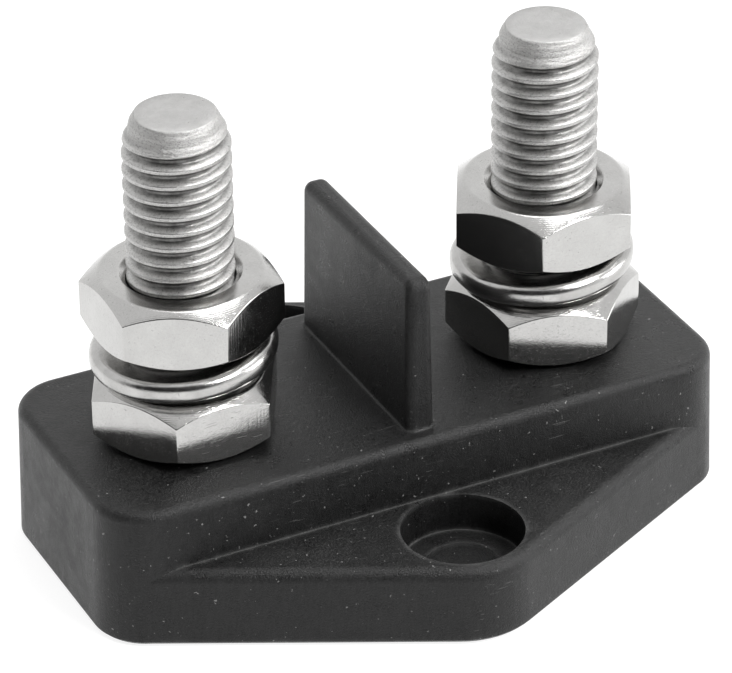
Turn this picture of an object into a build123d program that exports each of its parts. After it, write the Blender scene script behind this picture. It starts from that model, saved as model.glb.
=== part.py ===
"""Insulated dual power stud: two M8 terminal posts on a black nylon base with a divider fin.

+X runs along the bar from the left post to the right post, +Y to the rear, +Z up.
The origin is the centre of the underside. Millimetres.
"""
from build123d import *
from math import cos, radians, sin, tan
import os

# base moulding
BAR_LENGTH = 50.8          # over the end walls at the foot
BAR_TOP_WIDTH = 20.9       # over the long walls at the top face
BAR_HEIGHT = 11.0
BAR_CORNER_R = 4.2         # vertical corners at the foot, shared with the ears
EAR_HEIGHT = 6.1
EAR_SLOPE = 26.7           # degrees, plan angle of an ear's edges from the bar
EAR_APEX_R = 6.2
EAR_INSET = 0.02           # the ears' ends stop this far inside the bar's walls
DRAFT = 1.5                # degrees, on every outside wall
BAR_EDGE_R = 0.75
EAR_EDGE_R = 0.9
FOOT_EDGE = 0.3

# divider fin across the bar
FIN_LENGTH = 18.0            # at the foot
FIN_END_LEAN = 0.15          # each end leans in by this much at the top
FIN_FOOT_THICKNESS = 2.3
FIN_TOP_THICKNESS = 1.9
FIN_HEIGHT = 12.4
FIN_CORNER_R = 0.9
FIN_EDGE_R = 0.7
FIN_FOOT_R = 0.2
FIN_ROOT_DEPTH = 1.0         # the fin starts this far down inside the bar

# counterbored mounting holes, one in each ear
MOUNT_SPACING = 30.8
MOUNT_HOLE_R = 2.75
MOUNT_SINK_R = 4.55
MOUNT_SINK_DEPTH = 3.05

# terminal posts: M8 x 1.25 fully threaded hex-head screws, head down in the base
POST_SPACING = 29.6
POST_TOP = 36.6            # tip of the stud above the underside
SCREW_LENGTH = 30.0        # under the head
THREAD_R = 3.95            # crest
THREAD_PITCH = 1.25
THREAD_DEPTH = 0.70
THREAD_CREST = 0.20        # width of the crest's land
THREAD_ROOT = 0.22         # width of the root
TIP_R = 2.95
TIP_TAPER = 2.2              # length of the tapered tip
THREAD_START = 0.6           # groove's lower end above the head
CUT_MARGIN = 1.0             # the ring that cuts the taper reaches this far outside
GROOVE_OVERCUT = 0.3         # the cutting profile reaches this far outside the crest
HEAD_FLATS = 12.9
HEAD_HEIGHT = 5.3
HEAD_CLEARANCE = 0.10      # pocket wall to head, on each side
SHANK_HOLE_R = 4.2
PLUG_RECESS = 0.15
PLUG_EDGE = 0.2

# nuts: M8 thin, chamfered on both faces
NUT_FLATS = 12.9
NUT_HEIGHT = 5.0
NUT_BORE_R = 4.0
NUT_SINK_R = 4.45
NUT_FACE_R = 5.95          # flat ring that the chamfers leave
NUT_CHAMFER = 37.0         # degrees
LOWER_NUT_TURN = {"left": 0.9, "right": -18.0}
UPPER_NUT_TURN = {"left": -28.6, "right": 1.6}

# split spring washers, each a single coil of rounded section
WASHER_INNER_R = 4.15
WASHER_OUTER_R = 6.9
WASHER_THICKNESS = 1.7
WASHER_EDGE_R = 0.45
WASHER_GAP = 18.0          # degrees, between the cut ends
WASHER_RISE = 1.10         # from the low end to the high end
WASHER_START = 119.0       # degrees, the low end
SEAT_GAP = 0.05            # washer to each nut

# levels and places worked out from the sizes above
HEAD_TOP = POST_TOP - SCREW_LENGTH
HEAD_FOOT = HEAD_TOP - HEAD_HEIGHT
NUT_SEAT = BAR_HEIGHT
WASHER_SEAT = NUT_SEAT + NUT_HEIGHT
UPPER_SEAT = WASHER_SEAT + 2 * SEAT_GAP + WASHER_THICKNESS + WASHER_RISE
POSTS = {"left": -POST_SPACING / 2, "right": POST_SPACING / 2}
HEX_CORNER = 1 / cos(radians(30))
BAR_FOOT_WIDTH = BAR_TOP_WIDTH + 2 * BAR_HEIGHT * tan(radians(DRAFT))

# an ear's edge runs into the bar's rounded foot corner almost as a tangent
EAR_CORNER_R = BAR_CORNER_R - EAR_INSET
EAR_END_X = BAR_LENGTH / 2 - EAR_INSET
EAR_EDGE_DISTANCE = (
    (BAR_LENGTH / 2 - BAR_CORNER_R) * sin(radians(EAR_SLOPE))
    + (BAR_FOOT_WIDTH / 2 - BAR_CORNER_R) * cos(radians(EAR_SLOPE))
    + EAR_CORNER_R
)
EAR_REACH = EAR_EDGE_DISTANCE / cos(radians(EAR_SLOPE))
EAR_END_REACH = EAR_REACH - EAR_END_X * tan(radians(EAR_SLOPE))

os.makedirs("parts", exist_ok=True)


def write(part, label):
    """Label a finished piece and write it to its own file."""
    part.label = label
    export_step(part, f"parts/{label}.step")


def hexagon(flats, turn):
    """A hexagon in the current sketch, measured across its flats, with a corner at turn degrees."""
    RegularPolygon(radius=flats / 2 * HEX_CORNER, side_count=6, rotation=turn)


def make_base():
    """The moulding: bar, ears and fin in one piece, with its holes and head pockets."""
    with BuildPart() as base:
        with BuildSketch(Plane.XY) as ear_plan:
            with BuildLine():
                Polyline(
                    (EAR_END_X, EAR_END_REACH),
                    (0, EAR_REACH),
                    (-EAR_END_X, EAR_END_REACH),
                    (-EAR_END_X, -EAR_END_REACH),
                    (0, -EAR_REACH),
                    (EAR_END_X, -EAR_END_REACH),
                    close=True,
                )
            make_face()
            corners = ear_plan.vertices().sort_by(Axis.Y)
            fillet([corners[0], corners[-1]], EAR_APEX_R)
            fillet(ear_plan.vertices().filter_by(lambda v: abs(v.X) > EAR_END_X - 0.1), EAR_CORNER_R)
        extrude(amount=EAR_HEIGHT, taper=DRAFT)
        ear_rim = base.faces().sort_by(Axis.Z)[-1].edges()
        fillet(ear_rim, EAR_EDGE_R)
        with BuildSketch(Plane.XY):
            RectangleRounded(BAR_LENGTH, BAR_FOOT_WIDTH, BAR_CORNER_R)
        extrude(amount=BAR_HEIGHT, taper=DRAFT)
        bar_rim = base.faces().sort_by(Axis.Z)[-1].edges()
        fillet(bar_rim, BAR_EDGE_R)
        chamfer(base.faces().sort_by(Axis.Z)[0].edges(), FOOT_EDGE)

        with BuildSketch(Plane.XY.offset(BAR_HEIGHT - FIN_ROOT_DEPTH)):
            Rectangle(FIN_FOOT_THICKNESS, FIN_LENGTH)
        with BuildSketch(Plane.XY.offset(BAR_HEIGHT + FIN_HEIGHT)):
            Rectangle(FIN_TOP_THICKNESS, FIN_LENGTH - 2 * FIN_END_LEAN)
        loft()
        fin_ends = base.edges().filter_by(Axis.X).group_by(Axis.Z)[-1]
        fillet(fin_ends, FIN_CORNER_R)
        fin_sides = base.faces().filter_by(lambda f: abs(f.normal_at().X) > 0.99 and f.center().Z > BAR_HEIGHT)
        rim = fin_sides[0].edges() + fin_sides[1].edges()
        fillet(rim.filter_by(lambda e: e.center().Z > BAR_HEIGHT + 0.5), FIN_EDGE_R)
        foot = base.edges().filter_by(
            lambda e: abs(e.center().Z - BAR_HEIGHT) < 0.01 and abs(e.center().Y) < FIN_LENGTH / 2 + 0.1
            and abs(e.center().X) < FIN_FOOT_THICKNESS
        )
        fillet(foot, FIN_FOOT_R)

        with Locations(*[Plane((0, side * MOUNT_SPACING / 2, EAR_HEIGHT)) for side in (-1, 1)]):
            CounterBoreHole(MOUNT_HOLE_R, MOUNT_SINK_R, MOUNT_SINK_DEPTH)
        with Locations(*[Plane((x, 0, BAR_HEIGHT)) for x in POSTS.values()]):
            Hole(SHANK_HOLE_R)
        for x in POSTS.values():
            with BuildSketch(Plane((x, 0, 0))):
                hexagon(HEAD_FLATS + 2 * HEAD_CLEARANCE, 0)
            extrude(amount=HEAD_TOP, mode=Mode.SUBTRACT)
    write(base.part, "base_moulding")


def make_plug(side):
    """Sealing plug that closes a head pocket, a little inside the underside."""
    with BuildPart() as plug:
        with BuildSketch(Plane((POSTS[side], 0, PLUG_RECESS))):
            hexagon(HEAD_FLATS + HEAD_CLEARANCE, 0)
        extrude(amount=HEAD_FOOT - PLUG_RECESS)
        chamfer(plug.faces().sort_by(Axis.Z)[0].edges(), PLUG_EDGE)
    write(plug.part, f"{side}_pocket_plug")


def make_screw(side):
    """Hex-head screw: head in the pocket, helical thread, tapered tip."""
    x = POSTS[side]
    head_r = HEAD_FLATS / 2
    thread_end = POST_TOP + THREAD_PITCH
    thread_length = thread_end - HEAD_TOP - THREAD_START
    with BuildPart() as screw:
        with BuildSketch(Plane((x, 0, HEAD_FOOT))):
            hexagon(HEAD_FLATS, 0)
        extrude(amount=HEAD_HEIGHT)
        with BuildSketch(Plane((x, 0, HEAD_TOP))):
            Circle(THREAD_R)
        extrude(amount=SCREW_LENGTH)
        with BuildLine() as path:
            Helix(THREAD_PITCH, thread_length, THREAD_R, center=(x, 0, thread_end), direction=(0, 0, -1))
        start = path.line @ 0
        outward = Vector(start.X - x, start.Y, 0).normalized()
        half_mouth = (THREAD_PITCH - THREAD_CREST) / 2
        flank = (half_mouth - THREAD_ROOT / 2) / THREAD_DEPTH
        with BuildSketch(Plane(start, x_dir=outward, z_dir=Vector(0, 0, 1).cross(outward))):
            with BuildLine():
                Polyline(
                    (GROOVE_OVERCUT, half_mouth + GROOVE_OVERCUT * flank),
                    (-THREAD_DEPTH, THREAD_ROOT / 2),
                    (-THREAD_DEPTH, -THREAD_ROOT / 2),
                    (GROOVE_OVERCUT, -half_mouth - GROOVE_OVERCUT * flank),
                    close=True,
                )
            make_face()
        sweep(path=path.line, is_frenet=True, mode=Mode.SUBTRACT)
        with BuildSketch(Plane((x, 0, POST_TOP), x_dir=(1, 0, 0), z_dir=(0, -1, 0))):
            with BuildLine():
                Polyline(
                    (TIP_R, 0),
                    (TIP_R, CUT_MARGIN),
                    (THREAD_R + CUT_MARGIN, CUT_MARGIN),
                    (THREAD_R + CUT_MARGIN, -TIP_TAPER),
                    (THREAD_R, -TIP_TAPER),
                    close=True,
                )
            make_face()
        revolve(axis=Axis((x, 0, POST_TOP), (0, 0, 1)), mode=Mode.SUBTRACT)
    write(screw.part, f"{side}_stud")


def make_nut(label, x, seat, turn):
    """Thin hex nut, standing on seat with a corner at turn degrees, chamfered on both faces."""
    rise = (NUT_FLATS / 2 * HEX_CORNER - NUT_FACE_R) * tan(radians(NUT_CHAMFER))
    corner_r = NUT_FLATS / 2 * HEX_CORNER
    with BuildPart() as nut:
        with BuildSketch(Plane((x, 0, seat))):
            hexagon(NUT_FLATS, turn)
        extrude(amount=NUT_HEIGHT)
        with BuildSketch(Plane((x, 0, seat), x_dir=(1, 0, 0), z_dir=(0, -1, 0))):
            with BuildLine():
                Polyline(
                    (0, 0),
                    (NUT_FACE_R, 0),
                    (corner_r, rise),
                    (corner_r, NUT_HEIGHT - rise),
                    (NUT_FACE_R, NUT_HEIGHT),
                    (0, NUT_HEIGHT),
                    close=True,
                )
            make_face()
        revolve(axis=Axis((x, 0, seat), (0, 0, 1)), mode=Mode.INTERSECT)
        with Locations(Plane((x, 0, seat + NUT_HEIGHT))):
            Hole(NUT_BORE_R)
        mouths = nut.edges().filter_by(GeomType.CIRCLE).filter_by(lambda e: abs(e.radius - NUT_BORE_R) < 0.01)
        chamfer(mouths, NUT_SINK_R - NUT_BORE_R)
    write(nut.part, label)


def make_washer(side):
    """Split spring washer: one coil that rises counter-clockwise from its low end."""
    middle_r = (WASHER_INNER_R + WASHER_OUTER_R) / 2
    low = WASHER_SEAT + SEAT_GAP + WASHER_THICKNESS / 2
    pitch = WASHER_RISE * 360 / (360 - WASHER_GAP)
    with BuildPart() as washer:
        with BuildLine() as coil:
            Helix(pitch, WASHER_RISE, middle_r, center=(POSTS[side], 0, low))
        with BuildSketch(Plane(coil.line @ 0, x_dir=(1, 0, 0), z_dir=coil.line % 0)):
            RectangleRounded(WASHER_OUTER_R - WASHER_INNER_R, WASHER_THICKNESS, WASHER_EDGE_R)
        sweep(path=coil.line, is_frenet=True)
    turned = washer.part.rotate(Axis((POSTS[side], 0, 0), (0, 0, 1)), WASHER_START)
    write(turned, f"{side}_spring_washer")


make_base()
for post, post_x in POSTS.items():
    make_screw(post)
    make_plug(post)
    make_nut(f"{post}_lower_nut", post_x, NUT_SEAT, LOWER_NUT_TURN[post])
    make_washer(post)
    make_nut(f"{post}_upper_nut", post_x, UPPER_SEAT, UPPER_NUT_TURN[post])
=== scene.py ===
"""Looks for the insulated dual power stud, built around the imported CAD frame. Metres, +Z up.

The base moulding keeps its CAD mesh. The studs, nuts, washers and pocket plugs are finer meshes
that stand for their CAD nodes: rolled helical threads, chamfered nuts and rounded split washers.
"""
from math import atan2, cos, degrees, hypot, pi, radians, sin, tan

import bpy
import numpy as np
from mathutils import Matrix, Vector


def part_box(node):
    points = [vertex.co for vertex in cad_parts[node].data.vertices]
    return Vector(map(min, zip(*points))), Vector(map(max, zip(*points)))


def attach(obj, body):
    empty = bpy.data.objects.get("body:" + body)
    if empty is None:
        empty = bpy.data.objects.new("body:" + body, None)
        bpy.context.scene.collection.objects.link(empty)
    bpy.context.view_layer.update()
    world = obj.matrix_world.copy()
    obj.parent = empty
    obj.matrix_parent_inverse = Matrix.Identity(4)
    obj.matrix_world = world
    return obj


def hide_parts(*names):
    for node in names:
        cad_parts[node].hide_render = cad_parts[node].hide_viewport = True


MM = 0.001
SIDES = ("left", "right")

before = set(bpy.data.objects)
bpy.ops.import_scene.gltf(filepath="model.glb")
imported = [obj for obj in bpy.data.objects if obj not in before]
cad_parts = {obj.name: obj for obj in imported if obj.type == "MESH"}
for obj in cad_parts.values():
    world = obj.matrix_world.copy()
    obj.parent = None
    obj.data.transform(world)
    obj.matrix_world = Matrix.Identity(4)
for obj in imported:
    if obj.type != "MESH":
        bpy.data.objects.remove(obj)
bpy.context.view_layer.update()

# ---------------------------------------------------------------- sizes, in millimetres

SCREW_LENGTH = 30.0          # under the head
HEAD_SEAT_R = 5.5            # the head's bearing face
HEAD_CHAMFER = 30.0          # degrees
HEAD_BREAK = 0.1             # broken edge round the bearing face
NECK = 0.2                   # flare between the head and the thread
THREAD_R = 3.95
THREAD_PITCH = 1.25
FLANK = tan(radians(60))     # slope of the thread's sides
ROOT_R = 0.28                # round bottom of the groove
CREST_HALF_WIDTH = 0.14
FLANK_END = THREAD_PITCH / 2 - ROOT_R * sin(radians(60))
THREAD_DEPTH = FLANK * (FLANK_END - CREST_HALF_WIDTH) + ROOT_R * (1 - cos(radians(60)))
CREST_SOFTNESS = 0.05
SEAM_DEPTH = 0.03            # the fold that thread rolling leaves along the crest
SEAM_HALF_WIDTH = 0.05
TIP_R = 2.97
TIP_LENGTH = 2.5
TIP_POWER = 1.6              # how the taper curves
TIP_GROOVE = 0.5             # deepest groove that goes on into the taper
TIP_GROOVE_SHARE = 0.55      # how much of that is left there
TIP_GROOVE_FADE = 0.9        # where it starts to shrink, in tip lengths from the end
RAGGED = 0.022               # unevenness of the partial thread near the tip
RAGGED_WAVES = 6
RAGGED_REACH = (1.25, 0.45)  # where it ends and how fast it grows, in tip lengths from the end
RAGGED_SEED = {"left": 7, "right": 11}
THREAD_START = 0.3           # above the head
THREAD_RUN_OUT = 0.8
THREAD_STEP = 0.05           # between rows of the thread's mesh
THREAD_COLUMNS = 132
THREAD_TURN = {"left": 40.0, "right": 30.0}   # degrees, where each thread starts

NUT_BORE_R = 4.0
NUT_SINK_R = 4.5
NUT_FACE_R = 5.95
NUT_CHAMFER = 37.0           # degrees
NUT_EDGE_R = 0.06
NUT_FACE_EDGE_R = 0.18
NUT_SINK_EDGE_R = 0.05
NUT_CORNER_R = 0.12
NUT_THREAD_SHARE = 0.6       # depth of the nut's thread, as a part of the screw's
NUT_THREAD_FADE = 0.5        # towards each end of the bore
NUT_THREAD_STEPS = 14        # rows of the mesh in one pitch
HEX_FLATS = 12.9

WASHER_INNER_R = 4.15
WASHER_OUTER_R = 6.9
WASHER_THICKNESS = 1.7
WASHER_EDGE_R = 0.68
WASHER_START = 119.0         # degrees, the low end
WASHER_SWEEP = 342.0
WASHER_SHIFT = {"left": 0.0, "right": -0.12}   # sideways play on the stud
WASHER_STEPS = 150           # sections round the coil
WASHER_CORNER_STEPS = 5
WASHER_CLIMB = (0.08, 0.62)  # where the climb starts and how long it takes, as parts of the coil
WASHER_END = 0.035           # how much smaller the cut ends are, for their broken edges

PLUG_SAG = 0.22              # hollow of the cast face
PLUG_RIPPLE = 0.02

# ---------------------------------------------------------------- stage, in metres and degrees

FLOOR_Z = -0.0001            # just clear of the underside
FLOOR_REACH = 3.0            # from the middle to each edge
FLOOR_GLOW = 0.86            # light of its own, so that shadows on it stay pale

WORLD_LEVEL = 0.92           # of the white studio
BACK_GLOW = 1.3              # how much brighter it is behind the object
BACK_EDGE = (-0.2, -0.9)     # cosines of the angle from the opening, start to full glow
OPENING_WIDTH = 50.0         # half angles of the dark opening
OPENING_HEIGHT = 31.0
OPENING_EDGE = (0.75, 1.6)   # where it fades, in squares of those half angles
OPENING_LEVEL = 0.03
OPENING_TURN = -16.0         # from the lens, clockwise seen from above

LIGHT_AIM = Vector((0, 0, 0.01))
LIGHTS = (                   # name, position, size, power in watts
    ("key", (0.20, -0.37, 0.50), 0.20, 3.0),
    ("top", (0.16, 0.06, 0.60), 0.42, 1.8),
    ("side", (0.60, -0.25, 0.22), 0.30, 1.6),
)

AZIMUTH = 26.18              # of the view, from +Y towards +X
ELEVATION = 30.96
ROLL = -0.66
DISTANCE = 0.3169
TARGET = Vector((-0.00080, -0.00150, 0.01516))
LENS = 211.4                 # millimetres, on a sensor SENSOR wide
SENSOR = 36.0
CLIP_START = 0.01


# ---------------------------------------------------------------- where the CAD puts things

def axis_x(side):
    """The stud's axis along X, in millimetres."""
    low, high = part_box(f"{side}_stud")
    return (low.x + high.x) / 2 / MM


def span_z(node):
    """Lowest and highest z of a CAD node, in millimetres."""
    low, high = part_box(node)
    return low.z / MM, high.z / MM


def corner_turn(node, side):
    """Angle in degrees of one hexagon corner of a CAD nut about its stud."""
    x = axis_x(side) * MM
    far = max(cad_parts[node].data.vertices, key=lambda v: hypot(v.co.x - x, v.co.y))
    return degrees(atan2(far.co.y, far.co.x - x))


# ---------------------------------------------------------------- mesh building

def smooth(t):
    """Smooth step from 0 to 1, for numbers and arrays."""
    t = np.clip(t, 0.0, 1.0)
    return t * t * (3 - 2 * t)


def grid_mesh(name, rows, closed=False):
    """A mesh from rows of points in millimetres.

    rows has the shape (row, column, 3). Columns wrap round. With closed the rows wrap too;
    otherwise one face closes the first row and another the last.
    """
    rows = np.asarray(rows, float)
    count, columns = rows.shape[:2]
    points = rows.reshape(-1, 3) * MM
    faces = []
    for i in range(count if closed else count - 1):
        j = (i + 1) % count
        for c in range(columns):
            d = (c + 1) % columns
            faces.append((i * columns + c, i * columns + d, j * columns + d, j * columns + c))
    if not closed:
        faces.append(tuple(reversed(range(columns))))
        faces.append(tuple((count - 1) * columns + c for c in range(columns)))
    mesh = bpy.data.meshes.new(name)
    mesh.from_pydata([tuple(p) for p in points], [], faces)
    mesh.validate()
    mesh.update()
    return mesh


def add_piece(name, mesh, x, body, node, material, smooth_angle):
    """Add a mesh at x millimetres as a piece that rides on body and stands for node.

    Faces that meet at more than smooth_angle degrees keep a sharp edge.
    """
    piece = bpy.data.objects.new(name, mesh)
    bpy.context.scene.collection.objects.link(piece)
    piece.location = (x * MM, 0, 0)
    mesh.materials.append(material)
    mesh.shade_smooth()
    mesh.set_sharp_from_angle(angle=radians(smooth_angle))
    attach(piece, body)
    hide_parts(node)


def rounded(points, radii, steps=4):
    """Open polyline (r, z) with every corner between its ends rounded.

    A rounding takes up at most 0.45 of the lines that it joins.
    """
    out = [np.array(points[0], float)]
    for before, here, after, radius in zip(points, points[1:], points[2:], radii):
        here = np.array(here, float)
        to_before = np.array(before, float) - here
        to_after = np.array(after, float) - here
        a, b = np.linalg.norm(to_before), np.linalg.norm(to_after)
        reach = min(radius, 0.45 * a, 0.45 * b)
        start, end = here + to_before / a * reach, here + to_after / b * reach
        for k in range(steps + 1):
            t = k / steps
            out.append((1 - t) ** 2 * start + 2 * t * (1 - t) * here + t ** 2 * end)
    out.append(np.array(points[-1], float))
    return out


def thread_drop(along):
    """Depth of a thread's surface below its crest; along runs from 0 at one crest to 1."""
    off_crest = np.abs((along + 0.5) % 1.0 - 0.5) * THREAD_PITCH
    flank = FLANK * (off_crest - CREST_HALF_WIDTH)
    opened = 0.5 * (flank + np.sqrt(flank ** 2 + CREST_SOFTNESS ** 2))
    off_root = np.minimum(THREAD_PITCH / 2 - off_crest, ROOT_R * sin(radians(60)))
    root = THREAD_DEPTH - ROOT_R + np.sqrt(ROOT_R ** 2 - off_root ** 2)
    groove = np.where(off_crest > FLANK_END, root, opened)
    seam = SEAM_DEPTH * np.exp(-((off_crest / SEAM_HALF_WIDTH) ** 2))
    return groove + seam


def hex_angles():
    """Column angles in degrees round a hexagon, closer together at its corners."""
    half = [0, 0.5, 1.1, 1.8, 2.8, 4.5, 8, 13, 19, 25, 30]
    sector = half + [60 - a for a in reversed(half[1:-1])]
    return [60 * k + a for k in range(6) for a in sector]


def hex_radius(offset):
    """Radius of the rounded hexagon at an angle in degrees from a corner."""
    from_flat = radians(30 - abs((offset + 30) % 60 - 30))
    flat = HEX_FLATS / 2 / cos(from_flat)
    corner = HEX_FLATS / 2 / cos(radians(30))
    round_centre = corner - NUT_CORNER_R / cos(radians(30))
    from_corner = radians(30) - from_flat
    inside = NUT_CORNER_R ** 2 - (round_centre * sin(from_corner)) ** 2
    if inside <= 0:
        return flat
    return min(flat, round_centre * cos(from_corner) + inside ** 0.5)


def prism_ring(outline, theta, z):
    """One row of points at radii outline and angles theta, at height z."""
    return np.stack([outline * np.cos(theta), outline * np.sin(theta), 0 * theta + z], 1)


# ---------------------------------------------------------------- studs

def ragged_tip(z, theta, waves):
    """Small uneven steps in radius where the thread fades out, in a few random waves."""
    return sum(
        RAGGED / (k + 2)
        * np.sin(z * (7 + 5 * k) + waves[k, 0] + 1.3 * np.sin(theta * (k + 2) + waves[k, 1]))
        for k in range(RAGGED_WAVES)
    )


def make_stud(side, material):
    """Hex-head screw with a rolled helical thread and a tapered, slightly rough tip."""
    foot, top = span_z(f"{side}_stud")
    head_top = top - SCREW_LENGTH
    turn = np.radians(THREAD_TURN[side])
    theta = np.linspace(0, 2 * pi, THREAD_COLUMNS, endpoint=False)
    hexagon = np.array([hex_radius(degrees(t)) for t in theta])
    rng = np.random.default_rng(RAGGED_SEED[side])

    def ring(radius, z):
        return prism_ring(np.broadcast_to(radius, theta.shape), theta, z)

    rise = (hexagon - NUT_FACE_R) * tan(radians(HEAD_CHAMFER))
    rows = [ring(2.0, foot), ring(4.5, foot), ring(NUT_FACE_R, foot), ring(hexagon, foot + rise)]
    rows += [ring(hexagon, head_top - HEAD_BREAK), ring(hexagon - HEAD_BREAK, head_top)]
    rows += [ring(HEAD_SEAT_R, head_top), ring(THREAD_R + NECK, head_top)]
    rows += [ring(THREAD_R, head_top + NECK)]

    waves = rng.uniform(0, 2 * pi, size=(RAGGED_WAVES, 2))
    ragged_end, ragged_growth = RAGGED_REACH
    for z in np.arange(head_top + THREAD_START, top - 0.03, THREAD_STEP):
        along = (z - head_top) / THREAD_PITCH - (theta + turn) / (2 * pi)
        below_tip = (top - z) / TIP_LENGTH
        fade = smooth((z - head_top - THREAD_START) / THREAD_RUN_OUT)
        radius = THREAD_R - thread_drop(along) * fade
        dome = THREAD_R - (THREAD_R - TIP_R) * max(0.0, 1 - below_tip) ** TIP_POWER
        near_tip = smooth((ragged_end - below_tip) / ragged_growth)
        groove = np.minimum(thread_drop(along), TIP_GROOVE) * smooth(below_tip / TIP_GROOVE_FADE)
        radius = np.minimum(radius, dome - TIP_GROOVE_SHARE * groove)
        rows.append(ring(radius - near_tip * (RAGGED + ragged_tip(z, theta, waves)), z))
    rows += [ring(TIP_R - 0.05, top - 0.02), ring(TIP_R - 0.12, top)]
    rows += [ring(2.0, top), ring(1.0, top - 0.004)]
    mesh = grid_mesh(f"{side}_stud_mesh", rows)
    x = axis_x(side)
    add_piece(f"{side}_stud_screw", mesh, x, "root", f"{side}_stud", material, 60)


# ---------------------------------------------------------------- nuts

def make_nut(side, which, body, material):
    """Thin hex nut chamfered on both faces, with a countersunk, threaded bore."""
    node = f"{side}_{which}_nut"
    low, high = span_z(node)
    turn = corner_turn(node, side)
    height = high - low
    sink = NUT_SINK_R - NUT_BORE_R
    columns = []
    for offset in hex_angles():
        outer = hex_radius(offset)
        rise = (outer - NUT_FACE_R) * tan(radians(NUT_CHAMFER))
        outline = rounded(
            [
                (NUT_BORE_R, sink),
                (NUT_SINK_R, 0),
                (NUT_FACE_R, 0),
                (outer, rise),
                (outer, height - rise),
                (NUT_FACE_R, height),
                (NUT_SINK_R, height),
                (NUT_BORE_R, height - sink),
            ],
            [
                NUT_SINK_EDGE_R, NUT_FACE_EDGE_R, NUT_EDGE_R,
                NUT_EDGE_R, NUT_FACE_EDGE_R, NUT_SINK_EDGE_R,
            ],
        )
        angle = radians(turn + offset)
        for z in np.arange(height - sink - 0.08, sink + 0.04, -THREAD_PITCH / NUT_THREAD_STEPS):
            along = (z + low) / THREAD_PITCH - angle / (2 * pi) + 0.5
            fade = smooth((height - sink - z) / NUT_THREAD_FADE)
            fade *= smooth((z - sink) / NUT_THREAD_FADE)
            groove = NUT_THREAD_SHARE * (THREAD_DEPTH - thread_drop(along)) * fade
            outline.append((NUT_BORE_R + groove, z))
        columns.append([(r * cos(angle), r * sin(angle), z + low) for r, z in outline])
    rows = np.array(columns).transpose(1, 0, 2)
    mesh = grid_mesh(f"{node}_mesh", rows, closed=True)
    add_piece(f"{node}_threaded", mesh, axis_x(side), body, node, material, 25)


# ---------------------------------------------------------------- spring washers

def make_washer(side, material):
    """One coil of rounded section that lies low on the left and climbs past the front."""
    node = f"{side}_spring_washer"
    low, high = span_z(node)
    thick = WASHER_THICKNESS
    climb = (high - low) - thick
    width = WASHER_OUTER_R - WASHER_INNER_R
    middle = (WASHER_OUTER_R + WASHER_INNER_R) / 2
    section = []
    for cx, cz, start in ((1, 1, 0), (-1, 1, 90), (-1, -1, 180), (1, -1, 270)):
        for k in range(WASHER_CORNER_STEPS + 1):
            a = radians(start + 90 * k / WASHER_CORNER_STEPS)
            r = cx * (width / 2 - WASHER_EDGE_R) + WASHER_EDGE_R * cos(a)
            section.append((r, cz * (thick / 2 - WASHER_EDGE_R) + WASHER_EDGE_R * sin(a)))
    rows = []
    climb_start, climb_length = WASHER_CLIMB
    for i in range(WASHER_STEPS + 1):
        t = i / WASHER_STEPS
        angle = radians(WASHER_START + WASHER_SWEEP * t)
        z = low + thick / 2 + climb * float(smooth((t - climb_start) / climb_length))
        from_end = min(t, 1 - t) * WASHER_STEPS
        squeeze = 1 - WASHER_END * max(0.0, 1 - from_end)
        row = []
        for r, h in section:
            reach = middle + r * squeeze
            row.append((reach * cos(angle), reach * sin(angle), z + h * squeeze))
        rows.append(row)
    mesh = grid_mesh(f"{node}_mesh", rows)
    x = axis_x(side) + WASHER_SHIFT[side]
    add_piece(f"{node}_coil", mesh, x, f"{side}_washer", node, material, 45)


# ---------------------------------------------------------------- pocket plugs

def make_plug(side, material):
    """Cast sealing compound in the head pocket, with a meniscus round its rim."""
    node = f"{side}_pocket_plug"
    low, high = span_z(node)
    angles = hex_angles()
    outline = np.array([hex_radius(a) for a in angles])
    theta = np.radians(angles)
    rows = []
    back = ((0.02, high), (0.6, high), (0.985, high), (1.0, high - 0.05), (1.0, low + 0.02))
    for share, z in back:
        rows.append(prism_ring(share * outline, theta, z))
    for share in (0.985, 0.96, 0.93, 0.89, 0.83, 0.7, 0.5, 0.25, 0.02):
        sag = PLUG_SAG * float(smooth((1 - share) / 0.25))
        ripple = PLUG_RIPPLE * np.sin(theta * 3 + share * 9)
        z = low + sag + ripple * (1 - share)
        rows.append(prism_ring(share * outline, theta, z))
    mesh = grid_mesh(f"{node}_mesh", rows)
    add_piece(f"{node}_cast", mesh, axis_x(side), "root", node, material, 50)


# ---------------------------------------------------------------- materials

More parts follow.
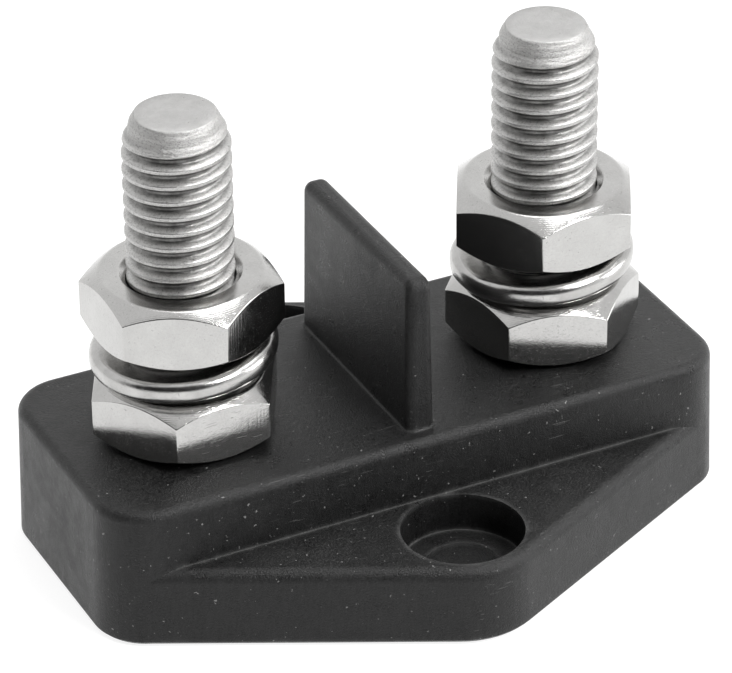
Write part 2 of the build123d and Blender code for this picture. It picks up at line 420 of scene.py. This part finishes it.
class Tree:
    """Short-hand for wiring a node tree."""

    def __init__(self, tree):
        self.tree = tree

    def link(self, source, target):
        self.tree.links.new(source, target)

    def add(self, kind, **values):
        node = self.tree.nodes.new(kind)
        for key, value in values.items():
            setattr(node, key, value)
        return node

    def math(self, operation, a, b=None):
        node = self.add("ShaderNodeMath", operation=operation)
        for socket, value in zip(node.inputs, (a, b)):
            if value is None:
                continue
            if isinstance(value, (int, float)):
                socket.default_value = value
            else:
                self.link(value, socket)
        return node.outputs[0]

    def plus(self, a, b):
        return self.math("ADD", a, b)

    def times(self, a, b):
        return self.math("MULTIPLY", a, b)

    def dot(self, a, b):
        """Dot product; b is a socket or a fixed vector."""
        node = self.add("ShaderNodeVectorMath", operation="DOT_PRODUCT")
        self.link(a, node.inputs[0])
        if isinstance(b, Vector):
            node.inputs[1].default_value = b
        else:
            self.link(b, node.inputs[1])
        return node.outputs["Value"]

    def parts(self, vector):
        """The three components of a vector."""
        split = self.add("ShaderNodeSeparateXYZ")
        self.link(vector, split.inputs[0])
        return split.outputs

    def ramp(self, value, low, high, to_low=0.0, to_high=1.0, curve="LINEAR"):
        """to_low up to low, to_high from high on, and a straight or smooth step between."""
        node = self.add("ShaderNodeMapRange", clamp=True, interpolation_type=curve)
        node.inputs["From Min"].default_value = low
        node.inputs["From Max"].default_value = high
        node.inputs["To Min"].default_value = to_low
        node.inputs["To Max"].default_value = to_high
        self.link(value, node.inputs["Value"])
        return node.outputs[0]


class Nodes(Tree):
    """Short-hand for building a node material."""

    def __init__(self, name):
        self.material = bpy.data.materials.new(name)
        self.material.use_nodes = True
        super().__init__(self.material.node_tree)
        self.shader = self.tree.nodes["Principled BSDF"]
        self.coords = self.add("ShaderNodeTexCoord").outputs["Object"]

    def noise(self, scale, detail=4.0, roughness=0.6, stretch=(1, 1, 1), turn=(0, 0, 0)):
        """Noise in object space; scale is in features per metre, turn in degrees."""
        mapping = self.add("ShaderNodeMapping")
        mapping.inputs["Scale"].default_value = stretch
        mapping.inputs["Rotation"].default_value = [radians(a) for a in turn]
        self.link(self.coords, mapping.inputs["Vector"])
        noise = self.add("ShaderNodeTexNoise")
        noise.inputs["Scale"].default_value = scale
        noise.inputs["Detail"].default_value = detail
        noise.inputs["Roughness"].default_value = roughness
        self.link(mapping.outputs["Vector"], noise.inputs["Vector"])
        return noise.outputs["Fac"]

    def mix(self, factor, a, b):
        node = self.add("ShaderNodeMix", data_type="RGBA")
        self.link(factor, node.inputs[0])
        for socket, value in ((node.inputs[6], a), (node.inputs[7], b)):
            if isinstance(value, tuple):
                socket.default_value = (*value, 1)
            else:
                self.link(value, socket)
        return node.outputs[2]

    def layer(self, colour, mask, amount, tint):
        """Colour with a tint over it where the mask is."""
        return self.mix(self.times(mask, amount), colour, tint)

    def bump(self, height, strength, distance, normal=None):
        node = self.add("ShaderNodeBump")
        node.inputs["Strength"].default_value = strength
        node.inputs["Distance"].default_value = distance
        self.link(height, node.inputs["Height"])
        if normal is not None:
            self.link(normal, node.inputs["Normal"])
        return node.outputs["Normal"]

    def radius(self):
        """Distance from the piece's own Z axis."""
        x, y, _ = self.parts(self.coords)
        squares = self.plus(self.math("POWER", x, 2.0), self.math("POWER", y, 2.0))
        return self.math("SQRT", squares)

    def normal(self):
        return self.add("ShaderNodeNewGeometry").outputs["Normal"]

    def scratches(self, scale, turns):
        """One on short straight scratches, zero elsewhere; turns gives their directions."""
        total = None
        for turn in turns:
            streaks = self.ramp(self.noise(scale, 1, 0.4, (1, 16, 16), turn), 0.735, 0.76)
            total = streaks if total is None else self.math("MAXIMUM", total, streaks)
        return total

    def crease(self, reach):
        """One in narrow inner corners of the piece."""
        shade = self.add("ShaderNodeAmbientOcclusion", samples=12, only_local=True)
        shade.inputs["Distance"].default_value = reach
        return self.ramp(shade.outputs["AO"], 0.52, 0.72, 1.0, 0.0)

    def edge(self, reach):
        """One on sharp outer edges: a painted highlight on the nylon, rubbed wear on the nuts."""
        rounded_off = self.add("ShaderNodeBevel", samples=4)
        rounded_off.inputs["Radius"].default_value = reach
        return self.ramp(self.dot(rounded_off.outputs[0], self.normal()), 0.86, 0.985, 1.0, 0.0)

    def set(self, socket, value):
        """Give the shader's socket a fixed value or a link."""
        if isinstance(value, (int, float, tuple)):
            self.shader.inputs[socket].default_value = value
        else:
            self.link(value, self.shader.inputs[socket])


def black_nylon():
    """Glass-filled nylon: near-black, fine moulded grain, tops lighter from dust and painted
    light, painted highlights along creases and edges.
    """
    n = Nodes("black_nylon")
    mottle = n.noise(700, 5, 0.7)
    grain = n.noise(7500, 3, 0.75)
    drawn = n.noise(3600, 4, 0.75, (1, 1, 0.2))
    cloud = n.ramp(n.noise(110, 4, 0.6), 0.40, 0.66)
    up = n.ramp(n.parts(n.normal())[2], 0.5, 0.95)
    upright = n.math("SUBTRACT", 1.0, up)
    specks = n.ramp(n.noise(3000, 2, 0.5), 0.715, 0.745)
    sparse = n.ramp(n.noise(160, 2, 0.5), 0.55, 0.60)
    marks = n.times(n.scratches(430, ((0, 0, 20), (35, 20, -35))), sparse)
    # Painted highlight: lighter colour along the inner creases, in place of the highlight a small
    # fillet would catch.
    crease_highlight = n.crease(0.00032)
    # Painted highlight: lighter colour along the rounded outer edges; they are also a little
    # smoother there.
    edges = n.times(n.edge(0.0007), n.ramp(mottle, 0.30, 0.62))
    # Top faces lighter: partly dust, partly painted light from above.
    dust_and_top_light = n.times(up, n.plus(n.times(cloud, 0.7), 0.3))
    dust_and_top_light = n.times(dust_and_top_light, n.ramp(grain, 0.46, 0.64))
    streaks = n.times(upright, n.ramp(drawn, 0.38, 0.62))
    tone = n.plus(n.times(n.ramp(grain, 0.44, 0.66), 0.60), n.times(streaks, 0.35))
    tone = n.plus(tone, n.times(n.ramp(mottle, 0.35, 0.68), 0.35))
    colour = n.mix(tone, (0.0003, 0.0003, 0.0004), (0.0150, 0.0150, 0.0150))
    # Painted light on the tops and painted highlights on edges and creases, then real scratches
    # and specks.
    colour = n.layer(colour, dust_and_top_light, 0.30, (0.075, 0.075, 0.073))
    colour = n.layer(colour, edges, 0.60, (0.105, 0.105, 0.104))
    colour = n.layer(colour, crease_highlight, 0.60, (0.15, 0.15, 0.147))
    colour = n.layer(colour, marks, 0.5, (0.12, 0.12, 0.118))
    colour = n.layer(colour, specks, 0.70, (0.26, 0.26, 0.255))
    n.set("Base Color", colour)
    rough = n.ramp(n.plus(mottle, n.times(grain, 0.6)), 0.55, 1.05, 0.22, 0.42)
    rough = n.plus(rough, n.times(cloud, 0.07))
    n.set("Roughness", n.math("SUBTRACT", rough, n.times(edges, 0.08)))
    n.set("Specular IOR Level", 0.31)
    fine = n.bump(grain, 0.85, 0.00008)
    fine = n.bump(drawn, 0.30, 0.00005, fine)
    n.set("Normal", n.bump(mottle, 0.25, 0.00012, fine))
    return n.material


def stud_steel():
    """Rolled stainless thread: satin crests, roots darkened by soil and painted shade, scuffed
    tip and a dull cut end.
    """
    n = Nodes("stud_steel")
    stain = n.ramp(n.noise(900, 5, 0.65), 0.35, 0.65)
    pits = n.noise(5200, 5, 0.75, (1, 1, 1.8))
    crest = n.ramp(n.plus(n.radius(), n.times(stain, 0.00012)), 0.00338, 0.00378)
    height = n.parts(n.coords)[2]
    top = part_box("left_stud")[1].z
    tip = n.ramp(height, top - 0.0022, top - 0.0012)
    cut_end = n.ramp(height, top - 0.00004, top - 0.00001)
    # The thread roots are darkened, partly soil and partly painted shade; the tip stays bright.
    clear_of_soil_and_shade = n.math("MAXIMUM", crest, n.times(tip, 0.8))
    colour = n.mix(clear_of_soil_and_shade, (0.080, 0.079, 0.076), (0.55, 0.545, 0.536))
    colour = n.layer(colour, stain, 0.30, (0.34, 0.337, 0.33))
    colour = n.layer(colour, n.ramp(pits, 0.50, 0.62), 0.50, (0.11, 0.108, 0.105))
    blotch = n.mix(stain, (0.43, 0.426, 0.42), (0.49, 0.486, 0.48))
    n.set("Base Color", n.mix(cut_end, colour, blotch))
    n.set("Metallic", 1.0)
    rough = n.ramp(n.noise(2600, 4, 0.6), 0.3, 0.7, 0.27, 0.40)
    taper = n.math("SUBTRACT", tip, cut_end)
    n.set("Roughness", n.plus(rough, n.times(taper, 0.05)))
    scuffs = n.times(pits, n.plus(n.times(tip, 0.9), 0.7))
    scuffed = n.bump(scuffs, 0.80, 0.00005)
    n.set("Normal", n.bump(n.noise(1400, 3, 0.6), 0.25, 0.00005, scuffed))
    return n.material


def nut_steel():
    """Bright stainless: drawn flats, scratched and pitted, with turned rings on the faces."""
    n = Nodes("nut_steel")
    stain = n.ramp(n.noise(420, 4, 0.55), 0.3, 0.7)
    pits = n.ramp(n.noise(3800, 3, 0.6), 0.66, 0.71)
    frost = n.ramp(n.noise(7000, 3, 0.7), 0.35, 0.65)
    marks = n.scratches(700, ((0, 0, 10), (20, 10, -40), (70, 0, 60)))
    edges = n.edge(0.00025)
    colour = n.mix(stain, (0.49, 0.486, 0.477), (0.55, 0.546, 0.536))
    colour = n.layer(colour, frost, 0.20, (0.36, 0.357, 0.35))
    colour = n.layer(colour, pits, 0.40, (0.16, 0.158, 0.152))
    colour = n.layer(colour, marks, 0.30, (0.34, 0.337, 0.33))
    n.set("Base Color", n.layer(colour, edges, 0.35, (0.74, 0.735, 0.725)))
    n.set("Metallic", 1.0)
    rough = n.ramp(n.noise(1500, 3, 0.6), 0.3, 0.7, 0.09, 0.17)
    n.set("Roughness", n.plus(rough, n.times(edges, 0.10)))
    rings = n.add("ShaderNodeTexWave", wave_type="RINGS", rings_direction="Z", wave_profile="SIN")
    rings.inputs["Scale"].default_value = 2600
    rings.inputs["Distortion"].default_value = 0.6
    n.link(n.coords, rings.inputs["Vector"])
    turned = n.bump(rings.outputs["Fac"], 0.08, 0.00002)
    drawn = n.bump(n.noise(2600, 5, 0.7, (1, 1, 0.3)), 0.16, 0.00003, turned)
    cut = n.plus(n.noise(5200, 4, 0.7), n.times(marks, -0.6))
    n.set("Normal", n.bump(cut, 0.24, 0.00003, drawn))
    return n.material


def washer_steel():
    """Tumbled stainless with softened edges and faint rolling lines."""
    n = Nodes("washer_steel")
    stain = n.ramp(n.noise(600, 4, 0.55), 0.3, 0.7)
    pits = n.ramp(n.noise(4200, 3, 0.6), 0.64, 0.70)
    colour = n.mix(stain, (0.42, 0.416, 0.408), (0.54, 0.535, 0.525))
    n.set("Base Color", n.layer(colour, pits, 0.4, (0.16, 0.158, 0.152)))
    n.set("Metallic", 1.0)
    n.set("Roughness", n.ramp(n.noise(1900, 3, 0.6), 0.3, 0.7, 0.16, 0.27))
    rolled = n.bump(n.noise(1500, 4, 0.7, (1, 1, 6)), 0.22, 0.00004)
    n.set("Normal", n.bump(n.noise(5200, 4, 0.7), 0.20, 0.00003, rolled))
    return n.material


def potting():
    """Cast epoxy: smooth and dark, with a slow ripple and a few pinholes."""
    n = Nodes("potting")
    cloud = n.noise(260, 3, 0.5)
    colour = n.mix(n.ramp(cloud, 0.3, 0.7), (0.012, 0.012, 0.013), (0.022, 0.022, 0.023))
    n.set("Base Color", colour)
    n.set("Roughness", n.ramp(cloud, 0.3, 0.7, 0.18, 0.30))
    holes = n.ramp(n.noise(2400, 1, 0.3), 0.24, 0.30)
    n.set("Normal", n.bump(holes, 0.4, 0.00006, n.bump(cloud, 0.2, 0.0002)))
    return n.material


def pale_floor():
    """Plain pale sheet of card."""
    n = Nodes("pale_floor")
    n.set("Base Color", n.mix(n.noise(40, 2, 0.5), (0.24, 0.24, 0.24), (0.26, 0.26, 0.26)))
    n.set("Roughness", 0.9)
    n.set("Specular IOR Level", 0.1)
    n.set("Emission Color", (1.0, 1.0, 1.0, 1.0))
    n.set("Emission Strength", FLOOR_GLOW)
    return n.material


# ---------------------------------------------------------------- pieces

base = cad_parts["base_moulding"]
base.data.materials.clear()
base.data.materials.append(black_nylon())

stud_material = stud_steel()
nut_material = nut_steel()
washer_material = washer_steel()
plug_material = potting()
for side in SIDES:
    make_stud(side, stud_material)
    make_nut(side, "lower", "root", nut_material)
    make_nut(side, "upper", f"{side}_nut", nut_material)
    make_washer(side, washer_material)
    make_plug(side, plug_material)


# ---------------------------------------------------------------- floor, lights and camera

def make_floor():
    """A large pale sheet under the object."""
    mesh = bpy.data.meshes.new("floor_mesh")
    signs = ((-1, -1), (1, -1), (1, 1), (-1, 1))
    corners = [(x * FLOOR_REACH, y * FLOOR_REACH, FLOOR_Z) for x, y in signs]
    mesh.from_pydata(corners, [], [(0, 1, 2, 3)])
    mesh.materials.append(pale_floor())
    floor = bpy.data.objects.new("floor", mesh)
    bpy.context.scene.collection.objects.link(floor)


def add_light(name, position, size, power):
    """A square soft light aimed at the object."""
    data = bpy.data.lights.new(name, "AREA")
    data.shape = "SQUARE"
    data.size = size
    data.energy = power
    light = bpy.data.objects.new(name, data)
    bpy.context.scene.collection.objects.link(light)
    light.location = position
    light.rotation_euler = (LIGHT_AIM - Vector(position)).to_track_quat("-Z", "Y").to_euler()


def make_world(lens_direction):
    """White studio all round, with a dark oval opening beside the lens."""
    world = bpy.data.worlds.new("studio")
    world.use_nodes = True
    bpy.context.scene.world = world
    world.node_tree.nodes.clear()
    n = Tree(world.node_tree)
    around = n.add("ShaderNodeTexCoord").outputs["Generated"]
    centre = Matrix.Rotation(radians(OPENING_TURN), 3, "Z") @ lens_direction
    sideways = Vector((0, 0, 1)).cross(centre).normalized()
    upward = centre.cross(sideways).normalized()
    squares = []
    for axis, half_angle in ((sideways, OPENING_WIDTH), (upward, OPENING_HEIGHT)):
        off_centre = n.dot(around, axis / sin(radians(half_angle)))
        squares.append(n.times(off_centre, off_centre))
    opening = n.ramp(n.plus(*squares), *OPENING_EDGE, OPENING_LEVEL, 1.0, "SMOOTHSTEP")
    facing = n.dot(around, centre)
    strength = n.math("MAXIMUM", opening, n.math("LESS_THAN", facing, 0.0))
    lit = n.times(strength, n.ramp(facing, *BACK_EDGE, 1.0, BACK_GLOW))
    background = n.add("ShaderNodeBackground")
    output = n.add("ShaderNodeOutputWorld")
    n.link(lit, background.inputs["Strength"])
    background.inputs["Color"].default_value = (WORLD_LEVEL, WORLD_LEVEL, WORLD_LEVEL, 1)
    n.link(background.outputs[0], output.inputs["Surface"])


def make_camera():
    """Long lens that looks down on the two posts; returns the direction towards it."""
    az, el, roll = radians(AZIMUTH), radians(ELEVATION), radians(ROLL)
    forward = Vector((sin(az) * cos(el), cos(az) * cos(el), -sin(el)))
    level = Vector((cos(az), -sin(az), 0))
    upright = level.cross(forward)
    right = level * cos(roll) + upright * sin(roll)
    up = upright * cos(roll) - level * sin(roll)
    data = bpy.data.cameras.new("camera")
    data.lens = LENS
    data.sensor_width = SENSOR
    data.clip_start = CLIP_START
    camera = bpy.data.objects.new("camera", data)
    bpy.context.scene.collection.objects.link(camera)
    turn = Matrix((right, up, -forward)).transposed().to_4x4()
    camera.matrix_world = Matrix.Translation(TARGET - forward * DISTANCE) @ turn
    bpy.context.scene.camera = camera
    return -forward


make_floor()
make_world(make_camera())
for light in LIGHTS:
    add_light(*light)
bpy.context.scene.view_settings.view_transform = "Standard"
